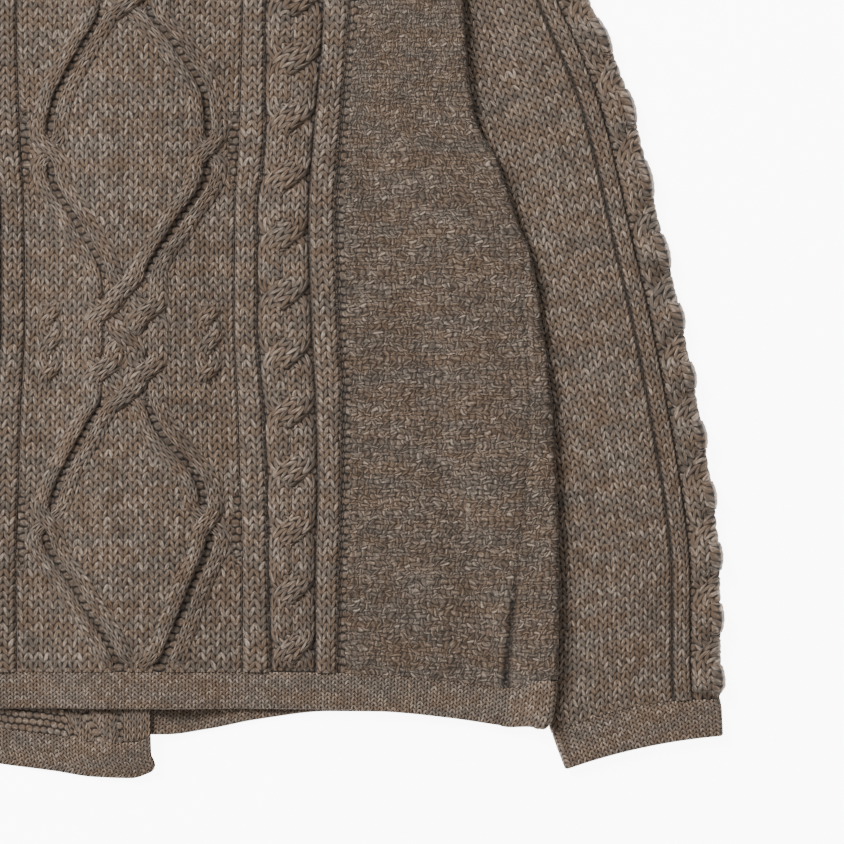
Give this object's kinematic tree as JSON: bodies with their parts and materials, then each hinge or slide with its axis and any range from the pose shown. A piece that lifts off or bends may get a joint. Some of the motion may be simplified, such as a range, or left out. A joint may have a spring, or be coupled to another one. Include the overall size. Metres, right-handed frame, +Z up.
{
  "type": "cable knit cardigan",
  "caption": "Long-sleeved cable knit cardigan in heather taupe wool, laid flat face down with its sleeves beside the body, its fronts hanging below the back's hem.",
  "frame": {"origin": "middle of the outline's box, on the surface the cardigan lies on", "axes": "+X across the back to the right in the picture, +Y from the hem to the neck, +Z up from the surface, through the fronts and then the back"},
  "size_m": [0.6644, 0.5952, 0.013],
  "materials": {
    "cable_knit": "heather taupe wool in stockinette, cables, diamonds and moss stitch",
    "band_knit": "the same wool in a finer, smoother knit",
    "horn_button": "dark brown horn-like plastic, half gloss"
  },
  "bodies": {
    "root": {"back": "cable_knit", "front_right": "cable_knit", "front_left": "cable_knit", "sleeve_right": "cable_knit", "sleeve_left": "cable_knit", "back_hem_band": "band_knit", "front_right_hem_band": "band_knit", "front_left_hem_band": "band_knit", "cuff_right": "band_knit", "cuff_left": "band_knit", "neckband_back": "band_knit", "neckband_front_right": "band_knit", "neckband_front_left": "band_knit", "buttonhole_band": "band_knit", "button_band": "band_knit", "button_1": "horn_button", "button_2": "horn_button", "button_3": "horn_button", "button_4": "horn_button", "button_5": "horn_button", "button_6": "horn_button"}
  },
  "joints": []
}
